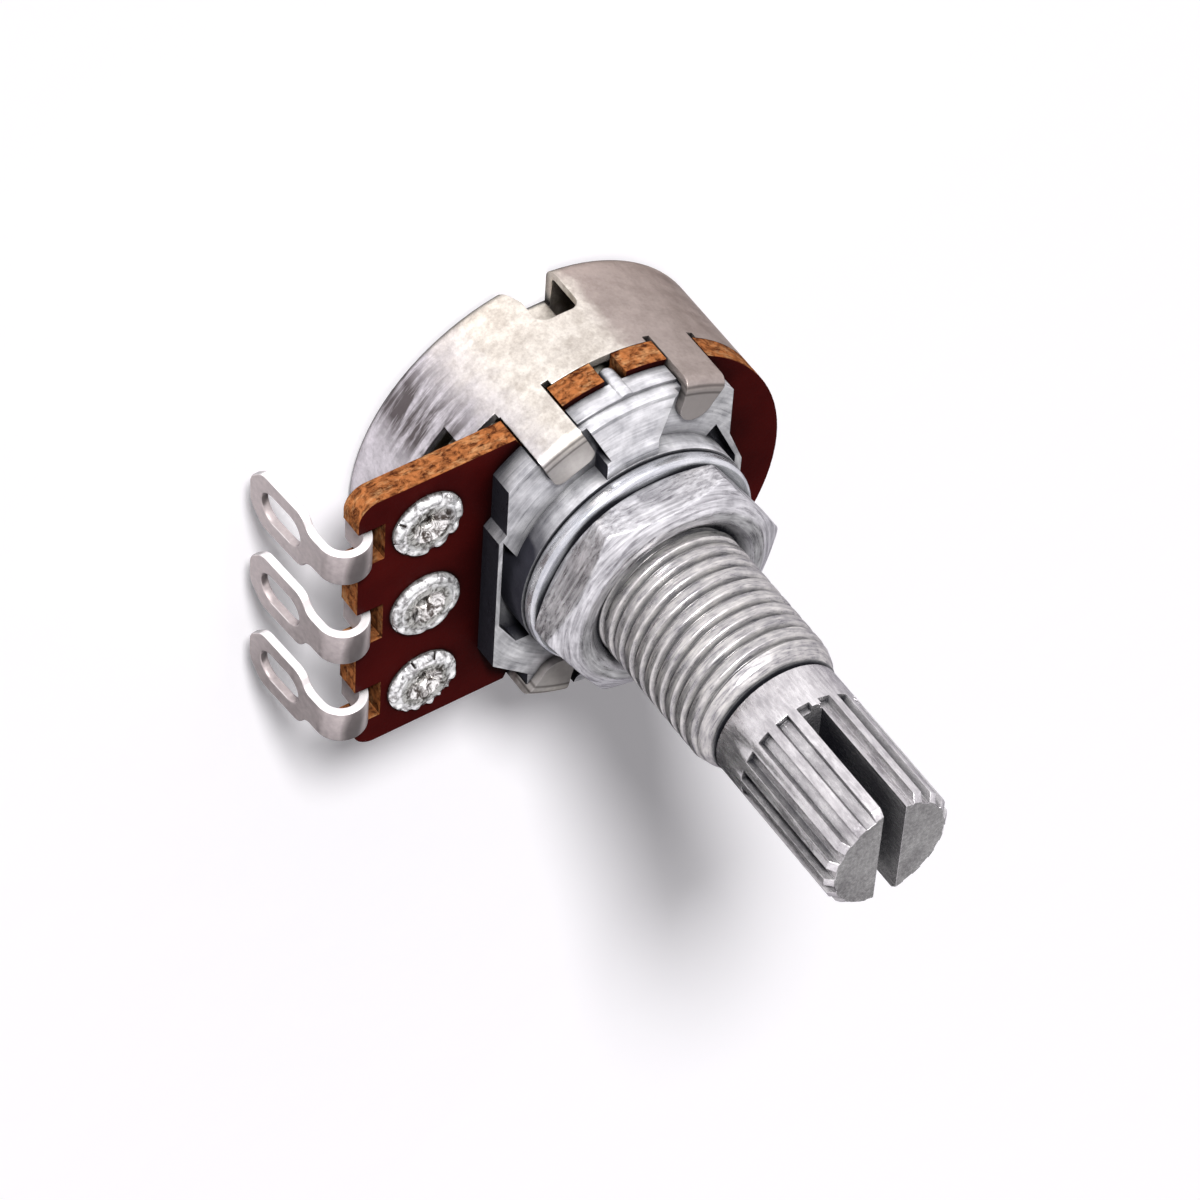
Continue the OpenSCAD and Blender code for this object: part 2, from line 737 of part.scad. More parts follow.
module panel_washer() {
    edge = 0.15;
    hole_r = bush_r + 0.3;
    out_r = washer_d / 2;
    color("#c0c1c4") rotate_extrude() polygon([
        [hole_r, 0], [out_r - edge, 0], [out_r, edge], [out_r, washer_t - edge],
        [out_r - edge, washer_t], [hole_r, washer_t]]);
}

module panel_nut() {
    corner_r = nut_flats / 2 / cos(30);
    face_r = nut_flats / 2 - 0.5;
    base_r = nut_flats / 2 - 0.1;
    drop = (corner_r - face_r) * tan(30);
    base_drop = (corner_r - base_r) * tan(30);
    thread_r = mesh_r + fit_gap;
    lead = 0.6;
    color("#a9abae") translate([0, 0, washer_t]) difference() {
        intersection() {
            rotate([0, 0, 30 + nut_turn]) cylinder(r = corner_r, h = nut_h, $fn = 6);
            rotate_extrude() polygon([
                [0, 0], [base_r, 0], [corner_r, base_drop], [corner_r, nut_h - drop],
                [face_r, nut_h], [0, nut_h]]);
        }
        translate([0, 0, -1]) cylinder(r = thread_r, h = nut_h + 2);
        translate([0, 0, nut_h - lead])
            cylinder(r1 = thread_r, r2 = bush_r + 0.55, h = lead + eps);
    }
}

front_plate();
shaft();
thrust_washer();
retaining_ring();
terminal_board();
resistance_track();
collector_track();
end_pad(-1);  // end_pad_left
end_pad(1);  // end_pad_right
lug(-lug_pitch);  // lug_left
lug(0);  // lug_middle
lug(lug_pitch);  // lug_right
rivet(-lug_pitch);  // rivet_left
rivet(0);  // rivet_middle
rivet(lug_pitch);  // rivet_right
rotor();
wiper();
rear_can();
panel_washer();
panel_nut();
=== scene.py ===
"""Looks for the rotary potentiometer, laid out as a Blender add-on.

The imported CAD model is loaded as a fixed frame. Each operator below makes or finishes one
part of the object, and main() calls them in order.
"""

import math

import bmesh
import bpy
import numpy as np
from mathutils import Matrix, Vector


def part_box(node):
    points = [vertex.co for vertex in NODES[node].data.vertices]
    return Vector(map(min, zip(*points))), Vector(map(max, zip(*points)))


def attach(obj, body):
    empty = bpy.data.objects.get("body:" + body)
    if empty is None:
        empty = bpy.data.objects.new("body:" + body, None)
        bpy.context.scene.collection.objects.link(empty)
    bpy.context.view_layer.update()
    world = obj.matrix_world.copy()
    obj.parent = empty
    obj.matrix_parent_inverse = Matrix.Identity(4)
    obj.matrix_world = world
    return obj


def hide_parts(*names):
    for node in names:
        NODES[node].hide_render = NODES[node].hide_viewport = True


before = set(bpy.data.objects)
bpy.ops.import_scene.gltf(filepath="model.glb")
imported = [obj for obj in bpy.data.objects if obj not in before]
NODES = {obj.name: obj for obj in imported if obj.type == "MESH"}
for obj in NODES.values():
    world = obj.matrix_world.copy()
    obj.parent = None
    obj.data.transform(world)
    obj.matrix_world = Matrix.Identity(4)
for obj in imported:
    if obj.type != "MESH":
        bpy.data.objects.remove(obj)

bl_info = {
    "name": "Rotary potentiometer looks",
    "version": (1, 0, 0),
    "blender": (4, 5, 0),
    "location": "3D View > Sidebar > Potentiometer",
    "description": "Materials, thread, rivets and stage for the packed potentiometer",
    "category": "Object",
}

MM = 0.001

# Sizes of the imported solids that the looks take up
BUSH_RADIUS = 3.45 * MM
BUSH_CHAMFER = 0.4 * MM
LUG_PITCH = 5 * MM

# Vertices of a node that lie nearer than this are one vertex
WELD = 0.002 * MM
# Colour of the painted shade at the bottom of a grey metal's crevices
CREVICE_SHADE = (0.012, 0.012, 0.016)


# Settings


class StageSettings(bpy.types.PropertyGroup):
    camera_place: bpy.props.FloatVectorProperty(
        name="Camera place", description="Camera position in the row frame",
        default=(-0.186846, -0.096894, 0.128819), size=3, subtype="TRANSLATION", unit="LENGTH")
    camera_turn: bpy.props.FloatVectorProperty(
        name="Camera turn", description="Camera rotation, XYZ Euler",
        default=(math.radians(-51.552), math.radians(-33.2968), math.radians(93.2089)),
        size=3, subtype="EULER", unit="ROTATION")
    lens: bpy.props.FloatProperty(
        name="Lens", description="Focal length for a 36 mm sensor, in millimetres",
        default=178.43)
    key_strength: bpy.props.FloatProperty(
        name="Key light", description="Strength of the soft light that casts the shadow",
        default=4.75, min=0)
    window_power: bpy.props.FloatProperty(
        name="Window light", description="Power of the low light at the side of the notch",
        default=0.5, min=0, unit="POWER")
    card_grey: bpy.props.FloatProperty(
        name="Card", description="Brightness of the grey card that the front faces mirror",
        default=0.36, min=0)
    shade_grey: bpy.props.FloatProperty(
        name="Shade card",
        description="Brightness of the dark card mirrored by the sides away from the light",
        default=0.1, min=0)
    sky: bpy.props.FloatProperty(
        name="Sky", description="Brightness of the surroundings", default=0.18, min=0)
    floor_glow: bpy.props.FloatProperty(
        name="Floor glow", description="Brightness added to the floor as a background",
        default=0.13, min=0)
    floor_colour: bpy.props.FloatVectorProperty(
        name="Floor colour", description="Colour of the pale floor",
        default=(0.93, 0.91, 0.94), size=3, subtype="COLOR", min=0, max=1)


class ThreadSettings(bpy.types.PropertyGroup):
    pitch: bpy.props.FloatProperty(
        name="Pitch", description="Thread pitch", default=0.75 * MM, min=0.1 * MM, unit="LENGTH")
    depth: bpy.props.FloatProperty(
        name="Depth", description="Radial depth of the thread", default=0.3 * MM, min=0,
        unit="LENGTH")
    crest: bpy.props.FloatProperty(
        name="Crest", description="Share of the pitch that is crest", default=0.5,
        min=0.05, max=0.8)
    lead: bpy.props.FloatProperty(
        name="Lead", description="Length at the mouth over which the thread fades",
        default=1.1 * MM, unit="LENGTH")
    segments: bpy.props.IntProperty(
        name="Segments", description="Segments round the bush", default=160, min=24)


class NutSettings(bpy.types.PropertyGroup):
    face: bpy.props.FloatProperty(
        name="Face", description="Radius of the nut's flat front face", default=4.5 * MM,
        unit="LENGTH")
    mouth: bpy.props.FloatProperty(
        name="Mouth", description="Radius of the bore's countersunk mouth", default=4.0 * MM,
        unit="LENGTH")
    chamfer: bpy.props.FloatProperty(
        name="Chamfer", description="Slope of the chamfer round the front face",
        default=math.radians(30), unit="ROTATION")
    corner: bpy.props.FloatProperty(
        name="Corner", description="Rounding where two sides meet", default=0.12 * MM,
        unit="LENGTH")
    segments: bpy.props.IntProperty(
        name="Segments", description="Segments round the nut", default=360, min=72)


class RosetteSettings(bpy.types.PropertyGroup):
    height: bpy.props.FloatProperty(
        name="Height", description="Height of the rosette's rim", default=0.36 * MM,
        unit="LENGTH")
    beads: bpy.props.IntVectorProperty(
        name="Beads", description="Number of lumps round each rosette's rim",
        default=(9, 7, 16), min=3)
    bead_depth: bpy.props.FloatVectorProperty(
        name="Bead depth", description="Depth of the gaps between lumps, as a share of the height",
        default=(0.85, 0.25, 0.95), size=3)
    crumple: bpy.props.FloatVectorProperty(
        name="Crumple", description="Height of the folds in each dish, as a share of the height",
        default=(0.34, 0.26, 0.36), size=3)
    segments: bpy.props.IntProperty(
        name="Segments", description="Segments round the rosette", default=144, min=24)


class SheetSettings(bpy.types.PropertyGroup):
    edge: bpy.props.FloatProperty(
        name="Edge", description="Width of the rounding on sheet metal edges",
        default=0.07 * MM, unit="LENGTH")
    corner: bpy.props.FloatProperty(
        name="Lug corner", description="Rounding of the corners in the lugs' outline",
        default=0.3 * MM, unit="LENGTH")
    cast_edge: bpy.props.FloatProperty(
        name="Cast edge", description="Width of the rounding on cast edges",
        default=0.1 * MM, unit="LENGTH")
    angle: bpy.props.FloatProperty(
        name="Angle", description="Edges sharper than this are rounded",
        default=math.radians(32), unit="ROTATION")


# Node helpers


class Shader:
    """Builds one procedural material out of Blender's shader nodes."""

    def __init__(self, name, colour, rough, metallic=0.0, specular=0.5):
        self.material = bpy.data.materials.new(name)
        self.material.use_nodes = True
        self.tree = self.material.node_tree
        self.bsdf = self.tree.nodes["Principled BSDF"]
        self.set("Base Color", (*colour, 1))
        self.set("Roughness", rough)
        self.set("Metallic", metallic)
        self.set("Specular IOR Level", specular)
        self.place = None

    def set(self, socket, value):
        self.bsdf.inputs[socket].default_value = value

    def link(self, source, target):
        self.tree.links.new(source, target)

    def drive(self, socket, source):
        """Links a factor or a colour to one of the main shader's sockets."""
        self.link(source, self.bsdf.inputs[socket])

    def node(self, kind, **values):
        """Adds a node, with its inputs and its options set by name."""
        made = self.tree.nodes.new(kind)
        for key, value in values.items():
            if key in made.inputs:
                made.inputs[key].default_value = value
            else:
                setattr(made, key, value)
        return made

    def coordinates(self, scale=(1, 1, 1)):
        """Object coordinates in metres, scaled, so that detail keeps its real size."""
        if self.place is None:
            self.place = self.node("ShaderNodeTexCoord")
        mapping = self.node("ShaderNodeMapping", Scale=scale)
        self.link(self.place.outputs["Object"], mapping.inputs["Vector"])
        return mapping.outputs["Vector"]

    def axes(self):
        """The object's x, y and z in metres, each as its own factor."""
        split = self.node("ShaderNodeSeparateXYZ")
        self.link(self.coordinates(), split.inputs["Vector"])
        return [split.outputs[axis] for axis in "XYZ"]

    def crevice(self, reach, low=0.3, high=0.85):
        """0 deep in a crevice, 1 on an open surface, by ambient occlusion, for painting shade.

        reach is the size of the crevices in metres, and low and high are how open it is where
        it counts as deepest and where it ends.
        """
        corner = self.node("ShaderNodeAmbientOcclusion", samples=6, Distance=reach)
        return self.spread(corner.outputs["AO"], 0, 1, low, high)

    def soften(self, width):
        """Rounds the look of sharp edges over a width in metres."""
        made = self.node("ShaderNodeBevel", samples=4, Radius=width)
        self.drive("Normal", made.outputs["Normal"])

    def normal(self):
        """The x, y and z of the surface's normal, each as its own factor."""
        split = self.node("ShaderNodeSeparateXYZ")
        self.link(self.node("ShaderNodeNewGeometry").outputs["Normal"], split.inputs["Vector"])
        return [split.outputs[axis] for axis in "XYZ"]

    def noise(self, size, detail=4.0, rough=0.55, stretch=(1, 1, 1), distortion=0.0):
        """Noise whose blotches are about size metres across."""
        scale = tuple(s / size for s in stretch)
        made = self.node("ShaderNodeTexNoise", Scale=1.0, Detail=detail, Roughness=rough,
                         Distortion=distortion)
        self.link(self.coordinates(scale), made.inputs["Vector"])
        return made.outputs["Fac"]

    def distance(self, first, second):
        """How long a way is that goes first one way and second across it."""
        squares = [self.maths("MULTIPLY", way, way) for way in (first, second)]
        return self.maths("POWER", self.maths("ADD", *squares), 0.5)

    def from_axis(self):
        """Distance from the shaft's axis in metres."""
        x, y, _ = self.axes()
        return self.distance(x, y)

    def from_lug(self):
        """How far x is past the middle of the nearest lug, in metres."""
        x, _, _ = self.axes()
        # The middle lug is at x = 0: half a pitch centres it, and two more keep all positive
        past = self.maths("MODULO", self.maths("ADD", x, 2.5 * LUG_PITCH), LUG_PITCH)
        return self.maths("SUBTRACT", past, 0.5 * LUG_PITCH)

    def turned(self, size, along=0.12):
        """Noise drawn out round the shaft's axis, like the marks of a lathe.

        size is that of its blotches across the marks, and an along below 1 draws them out
        round the axis.
        """
        usual_radius = 4 * MM
        x, y, z = self.axes()
        # Counted from -x, so that the noise's seam is on the side away from the camera
        angle = self.maths("ARCTAN2", y, self.maths("MULTIPLY", x, -1))
        place = self.node("ShaderNodeCombineXYZ")
        self.link(self.maths("DIVIDE", self.from_axis(), size), place.inputs["X"])
        self.link(self.maths("DIVIDE", z, size), place.inputs["Y"])
        self.link(self.maths("MULTIPLY", angle, along * usual_radius / size), place.inputs["Z"])
        made = self.node("ShaderNodeTexNoise", Scale=1.0, Detail=4.0, Roughness=0.65,
                         Distortion=0.4)
        self.link(place.outputs["Vector"], made.inputs["Vector"])
        return made.outputs["Fac"]

    def spread(self, fac, low, high, start=0.35, end=0.65):
        """Maps a factor from start..end to low..high."""
        made = self.node("ShaderNodeMapRange", **{"From Min": start, "From Max": end,
                                                  "To Min": low, "To Max": high})
        self.link(fac, made.inputs["Value"])
        return made.outputs["Result"]

    def blend(self, fac, first, second):
        """Mixes two colours by a factor: the first at 0, the second at 1."""
        made = self.node("ShaderNodeMix", data_type="RGBA")
        self.link(fac, made.inputs[0])
        # The sockets for colours, among those for the other kinds of data
        for value, socket in ((first, made.inputs[6]), (second, made.inputs[7])):
            if hasattr(value, "links"):
                self.link(value, socket)
            else:
                socket.default_value = (*value, 1)
        return made.outputs[2]

    def maths(self, operation, first, second=0.0):
        """One operation on two factors, or on a factor and a number."""
        made = self.node("ShaderNodeMath", operation=operation)
        for value, socket in ((first, made.inputs[0]), (second, made.inputs[1])):
            if hasattr(value, "links"):
                self.link(value, socket)
            else:
                socket.default_value = value
        return made.outputs[0]

    def bump(self, height, distance):
        """Raises the surface by up to distance metres where height is 1."""
        made = self.node("ShaderNodeBump", Distance=distance)
        self.link(height, made.inputs["Height"])
        if self.bsdf.inputs["Normal"].links:
            self.link(self.bsdf.inputs["Normal"].links[0].from_socket, made.inputs["Normal"])
        self.drive("Normal", made.outputs["Normal"])


def worn_and_shaded_metal(name, colour, shade, rough, grain, blotch=1.6 * MM, pits=0.12 * MM,
               pit_depth=0.006 * MM, stretch=(1, 1, 1), wave=0.0, reach=0.5 * MM,
               fine_share=0.4, deep=(0.3, 0.85), metal=1.0, side=None, turned=False):
    """A metal with uneven tone, uneven gloss, fine pits and painted shade in its crevices.

    shade is its darker tone, grain and blotch the sizes of its fine and broad patches, and
    fine_share the weight of the fine ones. pits and pit_depth are the size and depth of its
    pits, and wave the height of its broad unevenness. stretch draws grain and pits out along
    an axis where it is below 1, and turned draws the grain out round the shaft's axis. reach
    is the size of its crevices, and deep how open one is where their painted shade is darkest
    and where it ends. metal is how far it mirrors instead of scattering light, and side a
    darker colour painted as shade on its walls that face the lugs.
    """
    m = Shader(name, colour, rough, metallic=1.0, specular=0.1)
    tone = m.noise(blotch, 5.0, 0.6)
    fine = m.turned(grain) if turned else m.noise(grain, 3.0, 0.6, stretch)
    both = m.maths("MULTIPLY", m.spread(tone, 0, 1, 0.3, 0.7), 1 - fine_share)
    both = m.maths("ADD", both, m.maths("MULTIPLY", m.spread(fine, 0, 1, 0.34, 0.66), fine_share))
    face = m.blend(both, shade, colour)
    # Painted shade: walls that face the lugs are blended towards the darker side colour
    if side:
        face = m.blend(m.spread(m.normal()[1], 1, 0, -0.85, -0.5), face, side)
    # Painted shade: crevices are painted dark and mirror less
    kept = m.crevice(reach, *deep)
    m.drive("Base Color", m.blend(kept, CREVICE_SHADE, face))
    m.drive("Metallic", m.maths("MULTIPLY", kept, metal))
    m.set("Specular Tint", (0.4, 0.39, 0.42, 1))
    m.drive("Roughness", m.spread(fine, rough * 0.75, rough * 1.3, 0.3, 0.7))
    m.bump(m.noise(pits, 2.0, 0.5, stretch), pit_depth)
    if wave:
        m.bump(m.noise(blotch, 2.0, 0.5), wave)
    return m.material


def can_material():
    """Drawn nickel plate, streaked at one end.

    It is pale beside the notch as a painted highlight, and towards the ends it is painted darker
    as shade: duller at the other end and cooler at the streaked one.
    """
    # Where the painted highlight gives way to painted shade, and where the streaks lie, along y
    cool_shade_zone, dull_shade_zone = (-5.6 * MM, -3.2 * MM), (0.7 * MM, 1.7 * MM)
    streaks_start, streaks_end = (-7.9 * MM, -7.1 * MM), (-6.2 * MM, -4.6 * MM)
    # The tabs, by their height and by the distance from the axis
    tab_foot, tab_fold = (-1.75 * MM, -1.6 * MM), (8.1 * MM, 8.6 * MM)
    creases, crease_width = (8.05 * MM, 8.4 * MM), (0.02 * MM, 0.1 * MM)
    m = Shader("can_nickel", (0.6, 0.57, 0.53), 0.4, metallic=1.0, specular=0.1)
    _, y, z = m.axes()
    drift = m.maths("SUBTRACT", m.noise(1.4 * MM, 4.0, 0.65), 0.5)
    across = m.maths("ADD", y, m.maths("MULTIPLY", drift, 2.4 * MM))
    fine = m.spread(m.noise(0.2 * MM, 3.0, 0.7), 0, 1, 0.3, 0.7)
    broad = m.spread(m.noise(0.9 * MM, 5.0, 0.7), 0, 1, 0.4, 0.6)
    speck = m.maths("MULTIPLY", m.maths("ADD", fine, broad), 0.5)
    # Painted light: the pale middle is a painted highlight, and the duller and cooler tones
    # towards the ends are painted shade
    pale = m.blend(speck, (0.52, 0.47, 0.41), (0.92, 0.88, 0.8))
    dull = m.blend(speck, (0.36, 0.305, 0.275), (0.5, 0.43, 0.395))
    cool_shade = m.blend(speck, (0.44, 0.42, 0.44), (0.74, 0.71, 0.74))
    face = m.blend(m.spread(across, 0, 1, *dull_shade_zone), pale, dull)
    face = m.blend(m.spread(across, 1, 0, *cool_shade_zone), face, cool_shade)
    # Dark streaks, in patches past the pale part
    streak = m.spread(m.turned(0.45 * MM, 0.3), 0, 1, 0.4, 0.56)
    patch = m.spread(m.noise(2.4 * MM, 2.0, 0.5), 0, 1, 0.26, 0.42)
    near = m.maths("MULTIPLY", m.spread(y, 0, 1, *streaks_start), m.spread(y, 1, 0, *streaks_end))
    dark_streaks = m.maths("MULTIPLY", m.maths("MULTIPLY", streak, patch), near)
    face = m.blend(m.maths("MULTIPLY", dark_streaks, 0.95), face, (0.1, 0.085, 0.085))
    # The tabs' folded ends are painted darker and less metallic as shade, with two dark lines
    # painted as shade in the creases just past the fold
    from_axis = m.from_axis()
    on_tab = m.spread(z, 0, 1, *tab_foot)
    folded = m.maths("MULTIPLY", m.spread(from_axis, 1, 0, *tab_fold), on_tab)
    face = m.blend(m.maths("MULTIPLY", folded, 0.8), face, (0.3, 0.28, 0.275))
    for radius in creases:
        off = m.maths("ABSOLUTE", m.maths("SUBTRACT", from_axis, radius))
        crease_shade = m.maths("MULTIPLY", m.spread(off, 1, 0, *crease_width), on_tab)
        face = m.blend(m.maths("MULTIPLY", crease_shade, 0.7), face, (0.08, 0.07, 0.065))
    # Painted shade: crevices are painted dark and mirror less
    kept = m.crevice(0.6 * MM, 0.4, 0.85)
    m.soften(0.07 * MM)
    m.drive("Base Color", m.blend(kept, (0.012, 0.01, 0.01), face))
    m.drive("Metallic", m.maths("MULTIPLY", kept, m.spread(folded, 1, 0.45, 0, 1)))
    m.set("Specular Tint", (0.3, 0.28, 0.28, 1))
    m.drive("Roughness", m.spread(streak, 0.36, 0.46, 0, 1))
    m.bump(m.noise(0.2 * MM, 2.0, 0.5), 0.003 * MM)
    return m.material


def tin_material():
    """Dull tin plate of the lugs, with a painted highlight on one row of cut edges and painted
    shade on the others.

    The painted highlight is on the edges of the outline that face the light. Those of the holes,
    further in, stay dull.
    """
    outline = (0.81 * MM, 0.83 * MM)
    m = Shader("lug_tin", (0.4, 0.35, 0.345), 0.48, metallic=0.45)
    speck = m.spread(m.noise(0.3 * MM, 3.0, 0.6), 0, 1, 0.3, 0.7)
    face = m.blend(speck, (0.38, 0.33, 0.33), (0.5, 0.44, 0.435))
    across, _, forward = m.normal()
    # Painted highlight: the outline's edges that face the light are painted near-white
    outer = m.spread(m.maths("ABSOLUTE", m.from_lug()), 0, 1, *outline)
    bright = m.maths("MULTIPLY", m.spread(across, 1, 0, -0.75, -0.35), outer)
    face = m.blend(bright, face, (0.95, 0.92, 0.92))
    # Painted shade: faces turned to +x, to -z or to +z are painted dark
    dark = m.spread(across, 0, 1, 0.2, 0.6)
    dark = m.maths("MAXIMUM", dark, m.spread(forward, 1, 0, -0.8, -0.4))
    dark = m.maths("MAXIMUM", dark, m.spread(forward, 0, 1, 0.85, 0.97))
    face = m.blend(m.maths("MULTIPLY", dark, 0.8), face, (0.06, 0.05, 0.05))
    # Painted shade: crevices are painted dark
    kept = m.crevice(0.4 * MM, 0.3, 0.75)
    m.drive("Base Color", m.blend(kept, (0.03, 0.025, 0.025), face))
    m.drive("Roughness", m.spread(speck, 0.42, 0.54, 0, 1))
    m.bump(m.noise(0.15 * MM, 2.0, 0.5), 0.003 * MM)
    return m.material


def rivet_material(row, radius):
    """Bright tin with a mottled dish, for a row of rivets that has its middles at the given y."""
    m = Shader("rivet_tin", (0.9, 0.9, 0.9), 0.2, metallic=0.8)
    _, y, _ = m.axes()
    out = m.distance(m.from_lug(), m.maths("SUBTRACT", y, row))
    uneven = m.spread(m.noise(0.5 * MM, 3.0, 0.6), -1, 1, 0.2, 0.8)
    out = m.maths("ADD", out, m.maths("MULTIPLY", uneven, 0.12 * radius))
    rim = m.spread(out, 0, 1, 0.6 * radius, 0.74 * radius)
    mottle = m.spread(m.noise(0.33 * MM, 4.0, 0.7, distortion=0.8), 0, 1, 0.42, 0.58)
    dish = m.blend(mottle, (0.07, 0.055, 0.045), (1, 0.98, 0.95))
    speck = m.spread(m.noise(0.25 * MM, 3.0, 0.6), 0, 1, 0.36, 0.56)
    bright = m.blend(speck, (0.26, 0.25, 0.25), (1, 1, 1))
    # Painted shade: crevices are painted dark and mirror less
    kept = m.crevice(0.4 * MM, 0.6, 0.93)
    face = m.blend(rim, dish, bright)
    m.drive("Base Color", m.blend(kept, (0.02, 0.015, 0.012), face))
    m.drive("Metallic", m.maths("MULTIPLY", kept, m.spread(rim, 0.85, 0.6, 0, 1)))
    m.drive("Roughness", m.spread(mottle, 0.16, 0.26, 0, 1))
    m.bump(m.noise(0.12 * MM, 2.0, 0.5), 0.004 * MM)
    return m.material


def plain_metal(name, colour, rough):
    """An inner piece's metal, evenly worn, with painted shade in its crevices."""
    return worn_and_shaded_metal(name, colour, tuple(c * 0.8 for c in colour), rough, grain=0.3 * MM)


def board_material():
    """Dark red lacquer on the faces, and mottled brown layers where the board is cut.

    The lacquer is painted darker as shade near raised parts, and the cut layers in crevices.
    """
    m = Shader("board_lacquer", (0.05, 0.004, 0.004), 0.4, specular=0.01)
    cut = m.maths("LESS_THAN", m.maths("ABSOLUTE", m.normal()[2]), 0.7)
    mottle = m.noise(0.42 * MM, 6.0, 0.7, (1, 1, 1.5), 0.6)
    brown = m.blend(m.spread(mottle, 0, 1, 0.38, 0.6), (0.045, 0.012, 0.005), (0.34, 0.12, 0.039))
    pale = m.noise(0.9 * MM, 4.0, 0.7, (1, 1, 3.0))
    brown = m.blend(m.spread(pale, 0, 0.8, 0.52, 0.7), brown, (0.48, 0.25, 0.11))
    cloud = m.noise(3.0 * MM, 3.0, 0.5)
    red = m.blend(m.spread(cloud, 0, 1), (0.04, 0.003, 0.003), (0.062, 0.0045, 0.004))
    # Painted shade: the lacquer darkens near the plate and other parts over it
    red = m.blend(m.crevice(4.5 * MM, 0.5, 1.0), (0.004, 0.001, 0.001), red)
    # Painted shade: the cut layers darken in their crevices
    face = m.blend(cut, red, m.blend(m.crevice(0.6 * MM), (0.012, 0.004, 0.002), brown))
    m.drive("Base Color", face)
    m.drive("Roughness", m.spread(cut, 0.35, 0.8, 0, 1))
    m.bump(m.noise(0.2 * MM, 4.0, 0.6), 0.012 * MM)
    return m.material


def plastic_material(name, colour, rough):
    """A matt plastic or printed film with faint clouds and a fine grain."""
    m = Shader(name, colour, rough)
    speck = m.noise(0.5 * MM, 3.0, 0.5)
    dim = tuple(c * 0.88 for c in colour)
    m.drive("Base Color", m.blend(m.spread(speck, 0, 1), dim, colour))
    m.bump(m.noise(0.15 * MM, 2.0, 0.5), 0.004 * MM)
    return m.material


# Mesh helpers


def paint(obj, material):
    obj.data.materials.clear()
    obj.data.materials.append(material)


def smooth(obj, angle):
    """Smooth shading, with edges sharper than the angle kept crisp."""
    mesh = obj.data
    bm = bmesh.new()
    bm.from_mesh(mesh)
    for face in bm.faces:
        face.smooth = True
    for edge in bm.edges:
        edge.smooth = len(edge.link_faces) == 2 and edge.calc_face_angle(0) < angle
    bm.to_mesh(mesh)
    bm.free()


def round_edges(obj, width, angle, segments=2):
    """Welds the node's split vertices and rounds its sharp edges, without changing its mesh."""
    weld = obj.modifiers.new("weld", "WELD")
    weld.merge_threshold = WELD
    bevel = obj.modifiers.new("edges", "BEVEL")
    bevel.width = width
    bevel.segments = segments
    bevel.limit_method = "ANGLE"
    bevel.angle_limit = angle
    bevel.harden_normals = True
    bevel.use_clamp_overlap = True


def new_piece(name, mesh, body, material):
    """Adds a mesh to the scene as a piece that rides on a body, and returns its object."""
    obj = bpy.data.objects.new(name, mesh)
    bpy.context.scene.collection.objects.link(obj)
    paint(obj, material)
    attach(obj, body)
    return obj


def node_copy(node, name):
    """A named copy of a node's mesh, and a bmesh of it with the split vertices welded."""
    mesh = NODES[node].data.copy()
    mesh.name = name
    bm = bmesh.new()
    bm.from_mesh(mesh)
    bmesh.ops.remove_doubles(bm, verts=bm.verts, dist=WELD)
    return mesh, bm


def ring(radius, height, angles):
    """Points round the z axis; radius and height are one number each, or one for each angle."""
    x, y = radius * np.cos(angles), radius * np.sin(angles)
    return np.stack(np.broadcast_arrays(x, y, height), 1)


def bell(value, middle, width):
    """1 where the value is the middle one, fading to 0 away from it."""
    return np.exp(-((value - middle) / width) ** 2)


def surface(name, rings, loop=False):
    """A mesh through rings of n points each, given from the foot up.

    With loop, the last ring is joined to the first.
    """
    mesh = bpy.data.meshes.new(name)
    count, n = len(rings), len(rings[0])
    faces = []
    for i in range(count if loop else count - 1):
        low, high = i * n, (i + 1) % count * n
        for j in range(n):
            k = (j + 1) % n
            faces.append((low + j, low + k, high + k, high + j))
    mesh.from_pydata(np.concatenate(rings).tolist(), [], faces)
    mesh.update()
    return mesh


# Operators


